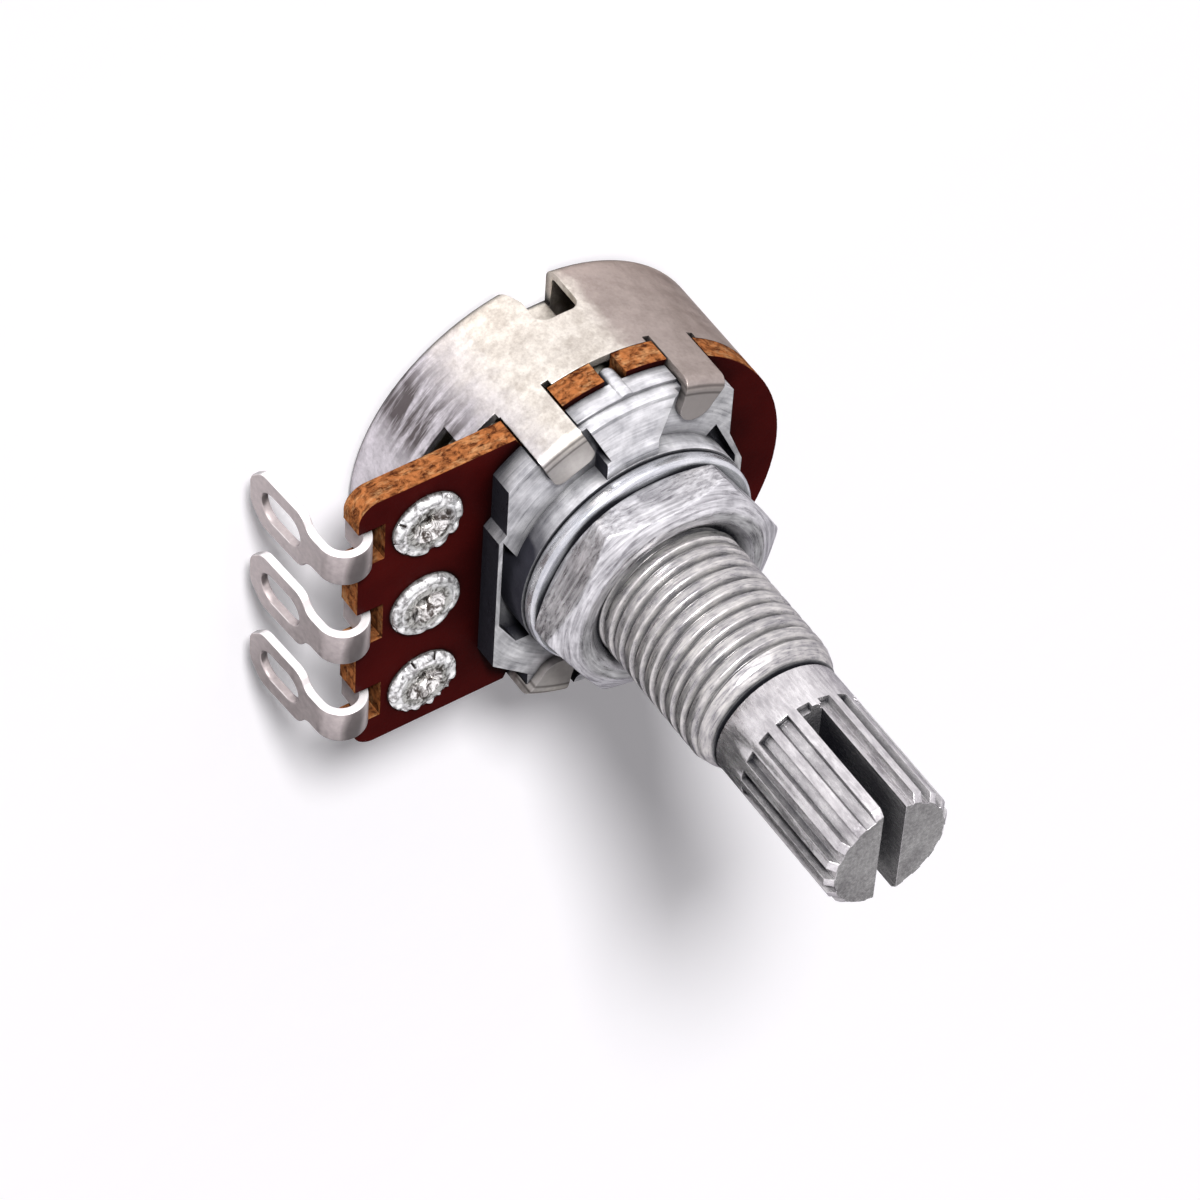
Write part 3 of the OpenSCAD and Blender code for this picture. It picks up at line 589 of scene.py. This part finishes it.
class POT_OT_stage(bpy.types.Operator):
    """Floor, lights, surroundings and camera"""

    bl_idname = "pot.stage"
    bl_label = "Make the stage"

    def execute(self, context):
        s = context.scene.pot_stage
        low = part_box("rear_can")[0].z
        self.floor(s, low)
        self.lights(s)
        # The grey card hangs where the front faces mirror the camera, and faces the part
        away = Vector((0.763, 0.385, 0.52))
        side = Vector((-away.y, away.x, 0)).normalized()
        distance, half_width, half_height = 0.5, 0.26, 0.2
        self.card("grey_card", away * distance, side * half_width,
                  away.cross(side) * half_height, s.card_grey)
        # The shade card lies just over the floor, on the side away from the light
        middle = Vector((0.0358, -0.0358, low + 0.0002))
        self.card("shade_card", middle, Vector((0.0243, -0.0243, 0)), Vector((0.024, 0.024, 0)),
                  s.shade_grey)
        self.world(context, s)
        self.camera(context, s)
        context.scene.view_settings.view_transform = "Standard"
        return {"FINISHED"}

    def rectangle(self, name, middle, half_width, half_height, material):
        """Adds a flat rectangle, its half sides given as vectors from its middle."""
        mesh = bpy.data.meshes.new(name)
        corners = [middle + half_width * a + half_height * b
                   for a, b in ((-1, -1), (1, -1), (1, 1), (-1, 1))]
        mesh.from_pydata([tuple(corner) for corner in corners], [], [(0, 1, 2, 3)])
        sheet = bpy.data.objects.new(name, mesh)
        bpy.context.scene.collection.objects.link(sheet)
        paint(sheet, material)
        return sheet

    def floor(self, s, low):
        half = 1.5
        m = Shader("floor_paint", s.floor_colour[:], 0.9, specular=0.1)
        path = m.node("ShaderNodeLightPath")
        seen = m.maths("MAXIMUM", path.outputs["Is Camera Ray"], path.outputs["Is Glossy Ray"])
        seen = m.maths("MAXIMUM", seen, path.outputs["Is Transmission Ray"])
        m.set("Emission Color", (1, 1, 1, 1))
        m.drive("Emission Strength", m.maths("MULTIPLY", seen, s.floor_glow))
        m.bump(m.noise(8 * MM, 3.0), 0.02 * MM)
        floor = self.rectangle("floor", Vector((0, 0, low)), Vector((half, 0, 0)),
                               Vector((0, half, 0)), m.material)

    def hang(self, light, place):
        """Puts a light at a place, aimed at the origin."""
        lamp = bpy.data.objects.new(light.name, light)
        lamp.location = place
        lamp.rotation_mode = "QUATERNION"
        lamp.rotation_quaternion = (-Vector(place)).to_track_quat("-Z", "Y")
        bpy.context.scene.collection.objects.link(lamp)

    def lights(self, s):
        key = bpy.data.lights.new("key_light", "SUN")
        key.energy = s.key_strength
        key.angle = math.radians(10)
        self.hang(key, (-0.836, -0.234, 0.497))
        window = bpy.data.lights.new("window_light", "AREA")
        window.shape = "RECTANGLE"
        window.size = 0.5
        window.size_y = 0.3
        window.energy = s.window_power
        self.hang(window, (-0.62, 0.1, 0.13))

    def card(self, name, middle, half_width, half_height, grey):
        """A grey card that is seen only in glossy reflections."""
        m = Shader(name + "_paint", (0, 0, 0), 1.0, specular=0)
        m.set("Emission Color", (1, 1, 1, 1))
        m.set("Emission Strength", grey)
        card = self.rectangle(name, middle, half_width, half_height, m.material)
        for ray in ("camera", "diffuse", "shadow", "transmission"):
            setattr(card, "visible_" + ray, False)

    def world(self, context, s):
        world = bpy.data.worlds.new("surroundings")
        context.scene.world = world
        world.use_nodes = True
        tree = world.node_tree
        background = tree.nodes["Background"]
        background.inputs["Color"].default_value = (0.98, 0.95, 1, 1)
        path = tree.nodes.new("ShaderNodeLightPath")
        seen = path.outputs["Is Camera Ray"]
        for ray in ("Is Glossy Ray", "Is Transmission Ray"):
            either = tree.nodes.new("ShaderNodeMath")
            either.operation = "MAXIMUM"
            tree.links.new(seen, either.inputs[0])
            tree.links.new(path.outputs[ray], either.inputs[1])
            seen = either.outputs[0]
        level = tree.nodes.new("ShaderNodeMapRange")
        level.inputs["To Min"].default_value = s.sky
        level.inputs["To Max"].default_value = 1.0
        tree.links.new(seen, level.inputs["Value"])
        tree.links.new(level.outputs["Result"], background.inputs["Strength"])

    def camera(self, context, s):
        data = bpy.data.cameras.new("camera")
        data.sensor_width = 36
        data.lens = s.lens
        data.clip_start = 0.01
        data.clip_end = 10
        camera = bpy.data.objects.new("camera", data)
        camera.location = s.camera_place
        camera.rotation_euler = s.camera_turn
        context.scene.collection.objects.link(camera)
        context.scene.camera = camera


class POT_OT_plate(bpy.types.Operator):
    """Cast front plate with its threaded bush"""

    bl_idname = "pot.plate"
    bl_label = "Make the front plate"

    def execute(self, context):
        sheet = context.scene.pot_sheet
        # The side colour is painted shade on the cast's walls that face the lugs
        cast = worn_and_shaded_metal("cast_zinc", (0.97, 0.96, 0.98), (0.25, 0.25, 0.27), rough=0.34,
                          grain=0.2 * MM, blotch=1.0 * MM, pits=0.16 * MM, pit_depth=0.008 * MM,
                          wave=0.06 * MM, reach=1.1 * MM, deep=(0.44, 0.9), metal=0.5,
                          side=(0.035, 0.035, 0.045), turned=True)
        # A copy of the node without the ringed outside of its bush
        mesh, bm = node_copy("front_plate", "front_plate_cast")
        gone = [f for f in bm.faces if self.on_bush(f)]
        bmesh.ops.delete(bm, geom=gone, context="FACES")
        bm.to_mesh(mesh)
        bm.free()
        plate = new_piece("front_plate_cast", mesh, "housing", cast)
        round_edges(plate, sheet.cast_edge, sheet.angle)
        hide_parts("front_plate")
        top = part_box("front_plate")[1].z
        thread = new_piece("bush_thread", self.thread_mesh(context.scene.pot_thread, top),
                           "housing", self.thread_metal())
        smooth(thread, math.radians(60))
        return {"FINISHED"}

    def on_bush(self, face):
        """Whether a face lies on the outside of the bush, above the seat."""
        slack = 0.02 * MM
        # More than the depth of the rings and of the mouth's chamfer, and less than the wall
        depth = 0.46 * MM
        reach = [v.co.xy.length for v in face.verts]
        low = min(v.co.z for v in face.verts)
        return (low > -slack and min(reach) > BUSH_RADIUS - depth
                and max(reach) < BUSH_RADIUS + slack)

    def thread_mesh(self, t, top):
        """One helical thread from the seat to the bush's mouth, in rows that follow the helix."""
        # Share of the pitch and of the depth, from the middle of the groove up to the crest
        half = (1 - t.crest) / 2
        flank = [(0, 1), (0.04, 0.98), (0.08, 0.88), (half - 0.04, 0.14), (half, 0.03),
                 (half + 0.05, 0)]
        profile = flank + [(0.5, 0)] + [(1 - share, depth) for share, depth in flank[:0:-1]]
        turns = math.ceil(top / t.pitch) + 2
        around = np.arange(t.segments) / t.segments
        lead_foot, mouth_foot, lead_slope = top - t.lead, top - BUSH_CHAMFER, 0.3
        rings = []
        for turn in range(-1, turns):
            for share, depth in profile:
                z = np.clip((turn + share + around) * t.pitch, 0, top)
                # The crests fade into a plain lead and then the chamfered mouth
                lead = np.clip(z, lead_foot, mouth_foot) - lead_foot
                limit = BUSH_RADIUS - np.maximum(0, z - mouth_foot) - lead_slope * lead
                r = np.minimum(BUSH_RADIUS - t.depth * depth, limit)
                rings.append(ring(r, z, 2 * math.pi * around))
        rows, n = len(profile), t.segments
        faces = []
        for i in range(len(rings) - rows - 1):
            for j in range(n):
                low, high = i * n + j, (i + 1) * n + j
                # A row's last point is followed by the first of the same row one turn on
                step = 1 if j < n - 1 else rows * n + 1 - n
                faces.append((low, low + step, high + step, high))
        mesh = bpy.data.meshes.new("bush_thread")
        mesh.from_pydata(np.concatenate(rings).tolist(), [], faces)
        bm = bmesh.new()
        bm.from_mesh(mesh)
        # Rows cut off at the seat and at the mouth lie flat there
        level, near = 0.0001 * MM, 0.0002 * MM
        flat = [f for f in bm.faces if all(v.co.z < level for v in f.verts)
                or all(v.co.z > top - level for v in f.verts)]
        bmesh.ops.delete(bm, geom=flat, context="FACES")
        bmesh.ops.remove_doubles(bm, verts=bm.verts, dist=near)
        bmesh.ops.dissolve_degenerate(bm, edges=bm.edges, dist=near)
        loose = [v for v in bm.verts if not v.link_faces]
        bmesh.ops.delete(bm, geom=loose, context="VERTS")
        bm.to_mesh(mesh)
        bm.free()
        return mesh

    def thread_metal(self):
        return worn_and_shaded_metal("thread_metal", (0.88, 0.85, 0.81), (0.18, 0.175, 0.2), rough=0.3,
                          grain=0.13 * MM, blotch=1.0 * MM, pits=0.14 * MM, pit_depth=0.006 * MM,
                          reach=0.3 * MM, deep=(0.4, 0.9), metal=0.85, fine_share=0.55,
                          turned=True)


class POT_OT_metalwork(bpy.types.Operator):
    """Shaft, washer, can, lugs and the inner metal pieces"""

    bl_idname = "pot.metalwork"
    bl_label = "Finish the metalwork"

    def execute(self, context):
        sheet = context.scene.pot_sheet
        finishes = {
            # The shaft's wide crevice reach paints its slot and grooves dark as shade
            "shaft": worn_and_shaded_metal("shaft_metal", (0.9, 0.88, 0.88), (0.38, 0.36, 0.375),
                                rough=0.25, grain=0.15 * MM, blotch=1.2 * MM, pits=0.1 * MM,
                                pit_depth=0.004 * MM, stretch=(1, 1, 0.25), wave=0.03 * MM,
                                reach=2.4 * MM, deep=(0.38, 0.7), metal=0.9),
            "panel_washer": worn_and_shaded_metal("washer_zinc", (0.92, 0.92, 0.94), (0.36, 0.38, 0.42),
                                       rough=0.26, grain=0.14 * MM, deep=(0.4, 0.9), metal=0.85,
                                       turned=True),
            "rear_can": can_material(),
            "retaining_ring": plain_metal("ring_steel", (0.4, 0.41, 0.43), 0.35),
            "thrust_washer": plain_metal("thrust_brass", (0.72, 0.6, 0.34), 0.35),
            "wiper": plain_metal("wiper_bronze", (0.72, 0.46, 0.24), 0.3),
        }
        # The wiper's sheet is thin
        edge_share = {"wiper": 0.4}
        for name, material in finishes.items():
            paint(NODES[name], material)
            # The can's material rounds the look of its edges
            if name != "rear_can":
                round_edges(NODES[name], sheet.edge * edge_share.get(name, 1), sheet.angle)
        tinned = tin_material()
        for name in ("lug_left", "lug_middle", "lug_right"):
            lug = new_piece(name + "_rounded", self.lug_mesh(name, sheet.corner), "housing",
                            tinned)
            round_edges(lug, sheet.edge, sheet.angle)
            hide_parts(name)
        return {"FINISHED"}

    def lug_mesh(self, name, corner):
        """A copy of the lug whose outline has soft corners round its flat end."""
        mesh, bm = node_copy(name, name + "_rounded")
        # Whole flat faces, so that a bevelled corner doesn't follow the edges of their triangles
        bmesh.ops.dissolve_limit(bm, angle_limit=math.radians(1), verts=bm.verts, edges=bm.edges)
        # The flat end lies within this much of the lug's furthest point from the board
        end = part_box(name)[0].y + 2.5 * MM
        end_faces = [f for f in bm.faces if f.calc_center_median().y < end]
        flat = max(end_faces, key=lambda f: f.calc_area()).normal
        corners = [edge for edge in bm.edges if self.is_corner(edge, flat, end)]
        bmesh.ops.bevel(bm, geom=corners, offset=corner, segments=4, profile=0.5, affect="EDGES",
                        clamp_overlap=True)
        bm.to_mesh(mesh)
        bm.free()
        return mesh

    def is_corner(self, edge, flat, end):
        """Whether an edge is a corner of the flat end's outline, straight through the sheet."""
        parallel, sharp = 0.9995, math.radians(20)
        first, second = (v.co for v in edge.verts)
        return (abs((second - first).normalized().dot(flat)) > parallel
                and min(first.y, second.y) < end
                and len(edge.link_faces) == 2 and edge.calc_face_angle(0) > sharp)


class POT_OT_nut(bpy.types.Operator):
    """Hexagon nut with a chamfered face and a countersunk bore"""

    bl_idname = "pot.nut"
    bl_label = "Make the nut"

    def execute(self, context):
        s = context.scene.pot_nut
        zinc = worn_and_shaded_metal("nut_zinc", (0.98, 0.97, 0.99), (0.14, 0.135, 0.15), rough=0.3,
                          grain=0.17 * MM, blotch=1.1 * MM, pits=0.2 * MM, pit_depth=0.006 * MM,
                          wave=0.04 * MM, fine_share=0.6, reach=0.9 * MM, deep=(0.35, 0.85),
                          metal=0.8, turned=True)
        low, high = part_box("panel_nut")
        paint(NODES["panel_nut"], zinc)
        nut = new_piece("hexagon_nut", self.mesh(s, low, high), "housing", zinc)
        smooth(nut, math.radians(28))
        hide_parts("panel_nut")
        return {"FINISHED"}

    def mesh(self, s, low, high):
        """Rings from the bore's foot over the front face and down the sides to the back."""
        # Half the width across the flats, the turn of the flats, and the root of the bore
        flats, turn, root = 5.0 * MM, math.radians(2), 3.2 * MM
        # Depth of the bore's countersink, and width and height of the rounding at its mouth
        sink, lip_width, lip_height = 0.6 * MM, 0.03 * MM, 0.02 * MM
        angles = np.linspace(0, 2 * math.pi, s.segments, endpoint=False) + turn
        from_flat = (angles - turn + math.pi / 6) % (math.pi / 3) - math.pi / 6
        side = flats / np.cos(from_flat)
        # Soft corners: the sides never reach further than a rounded corner does
        far = flats / math.cos(math.pi / 6) - s.corner * 0.35
        ease = s.corner * 0.25
        side = far - np.log1p(np.exp((far - side) / ease)) * ease
        slope = math.tan(s.chamfer)
        # Radius of the flat back face, and rounding of the rims
        base, soft = flats - 0.1 * MM, 0.05 * MM
        halfway = soft * 0.3, soft * 0.35

        def front(r):
            return high.z - np.maximum(0, r - s.face) * slope

        def back(r):
            return low.z + np.maximum(0, r - base) * slope

        upper, lower = front(side) - soft, back(side) + soft
        rows = [(root, low.z), (root, high.z - sink), (s.mouth, high.z - lip_height),
                (s.mouth + lip_width, high.z)]
        for share in np.linspace(0.15, 1, 9):
            r = s.mouth + (side - soft - s.mouth) * share
            rows.append((r, front(r)))
        rows.append((side - halfway[0], front(side) - halfway[1]))
        rows.append((side, upper))
        for share in np.linspace(0.1, 0.9, 5):
            rows.append((side, upper * (1 - share) + lower * share))
        rows.append((side, lower))
        rows.append((side - halfway[0], back(side) + halfway[1]))
        rows.append((side - soft, back(side)))
        rows.append((np.minimum(side - soft, base), low.z))
        return surface("hexagon_nut", [ring(r, z, angles) for r, z in reversed(rows)], loop=True)


class POT_OT_rivets(bpy.types.Operator):
    """Crimped rivets of the solder lugs"""

    bl_idname = "pot.rivets"
    bl_label = "Make the rivets"

    def execute(self, context):
        s = context.scene.pot_rosette
        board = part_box("terminal_board")[1].z
        low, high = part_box("rivet_middle")
        bright = rivet_material((low.y + high.y) / 2, (high.x - low.x) / 2)
        for index, name in enumerate(("rivet_left", "rivet_middle", "rivet_right")):
            low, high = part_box(name)
            paint(NODES[name], bright)
            mesh = self.rosette(s, index, (high.x - low.x) / 2)
            middle = ((low.x + high.x) / 2, (low.y + high.y) / 2, board)
            mesh.transform(Matrix.Translation(middle))
            piece = new_piece("rosette" + name.removeprefix("rivet"), mesh, "housing", bright)
            smooth(piece, math.radians(70))
        return {"FINISHED"}

    def rosette(self, s, index, radius):
        """A rolled rim of uneven lumps round a crumpled dish with a hole in the middle."""
        rng = np.random.default_rng(index + 5)
        angles = np.linspace(0, 2 * math.pi, s.segments, endpoint=False)
        beads = np.zeros_like(angles)
        for k in range(s.beads[index]):
            at = 2 * math.pi * (k + rng.uniform(-0.25, 0.25)) / s.beads[index]
            gap = (angles - at + math.pi) % (2 * math.pi) - math.pi
            beads = np.maximum(beads, rng.uniform(0.3, 1) * bell(gap, 0, 0.11))
        # Folds, each with its number round the dish, its start, its twist inwards and its height
        folds = [(n, rng.uniform(0, 6.3), rng.uniform(-5, 5), rng.uniform(0.5, 1) / n ** 0.5)
                 for n in range(2, 12)]
        # Share of the radius and of the height, from the foot over the rim into the hole
        profile = [(1.0, -0.05), (1.0, 0.25), (0.985, 0.55), (0.955, 0.8), (0.91, 0.95),
                   (0.86, 1.0), (0.8, 0.95), (0.75, 0.82), (0.7, 0.64), (0.65, 0.5), (0.6, 0.42),
                   (0.55, 0.38), (0.5, 0.37), (0.45, 0.38), (0.4, 0.38), (0.35, 0.36), (0.3, 0.3),
                   (0.26, 0.2), (0.22, 0.0), (0.19, -0.4), (0.18, -1.0)]
        # How far lumps draw the rim in, and how far folds lift it
        pinch, rim_crumple = 0.03, 0.05
        rings = []
        for share, rise in profile:
            rim, dish = bell(share, 0.9, 0.13), bell(share, 0.46, 0.2)
            crumple = sum(height * np.cos(n * angles + start + twist * share)
                          for n, start, twist, height in folds)
            r = radius * share * (1 - pinch * beads * rim)
            z = rise - s.bead_depth[index] * beads * rim + s.crumple[index] * crumple * dish
            z = z + rim_crumple * crumple * rim
            rings.append(ring(r, z * s.height, angles))
        return surface("rosette", rings)


class POT_OT_board(bpy.types.Operator):
    """Terminal board, printed tracks and rotor"""

    bl_idname = "pot.board"
    bl_label = "Finish the board"

    def execute(self, context):
        sheet = context.scene.pot_sheet
        paint(NODES["terminal_board"], board_material())
        round_edges(NODES["terminal_board"], sheet.edge * 0.5, sheet.angle, segments=1)
        carbon = plastic_material("track_carbon", (0.03, 0.03, 0.032), 0.5)
        silver = plain_metal("track_silver", (0.6, 0.6, 0.57), 0.45)
        paint(NODES["resistance_track"], carbon)
        for name in ("collector_track", "end_pad_left", "end_pad_right"):
            paint(NODES[name], silver)
        paint(NODES["rotor"], plastic_material("rotor_nylon", (0.72, 0.68, 0.58), 0.45))
        return {"FINISHED"}


class POT_PT_panel(bpy.types.Panel):
    """Settings and steps of the potentiometer's looks"""

    bl_idname = "POT_PT_panel"
    bl_label = "Potentiometer"
    bl_space_type = "VIEW_3D"
    bl_region_type = "UI"
    bl_category = "Potentiometer"

    def draw(self, context):
        for group in SETTINGS:
            settings = getattr(context.scene, group)
            box = self.layout.box()
            for key in settings.bl_rna.properties.keys():
                if key not in {"rna_type", "name"}:
                    box.prop(settings, key)
        for operator in OPERATORS:
            self.layout.operator(operator.bl_idname)


SETTINGS = {
    "pot_stage": StageSettings,
    "pot_thread": ThreadSettings,
    "pot_nut": NutSettings,
    "pot_rosette": RosetteSettings,
    "pot_sheet": SheetSettings,
}
OPERATORS = (POT_OT_stage, POT_OT_plate, POT_OT_metalwork, POT_OT_nut, POT_OT_rivets, POT_OT_board)
CLASSES = (*SETTINGS.values(), *OPERATORS, POT_PT_panel)


def register():
    for cls in CLASSES:
        bpy.utils.register_class(cls)
    for name, cls in SETTINGS.items():
        setattr(bpy.types.Scene, name, bpy.props.PointerProperty(type=cls))


def unregister():
    for name in SETTINGS:
        delattr(bpy.types.Scene, name)
    for cls in reversed(CLASSES):
        bpy.utils.unregister_class(cls)


def main():
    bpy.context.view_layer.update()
    register()
    bpy.ops.pot.stage()
    bpy.ops.pot.plate()
    bpy.ops.pot.metalwork()
    bpy.ops.pot.nut()
    bpy.ops.pot.rivets()
    bpy.ops.pot.board()


if __name__ == "__main__":
    main()
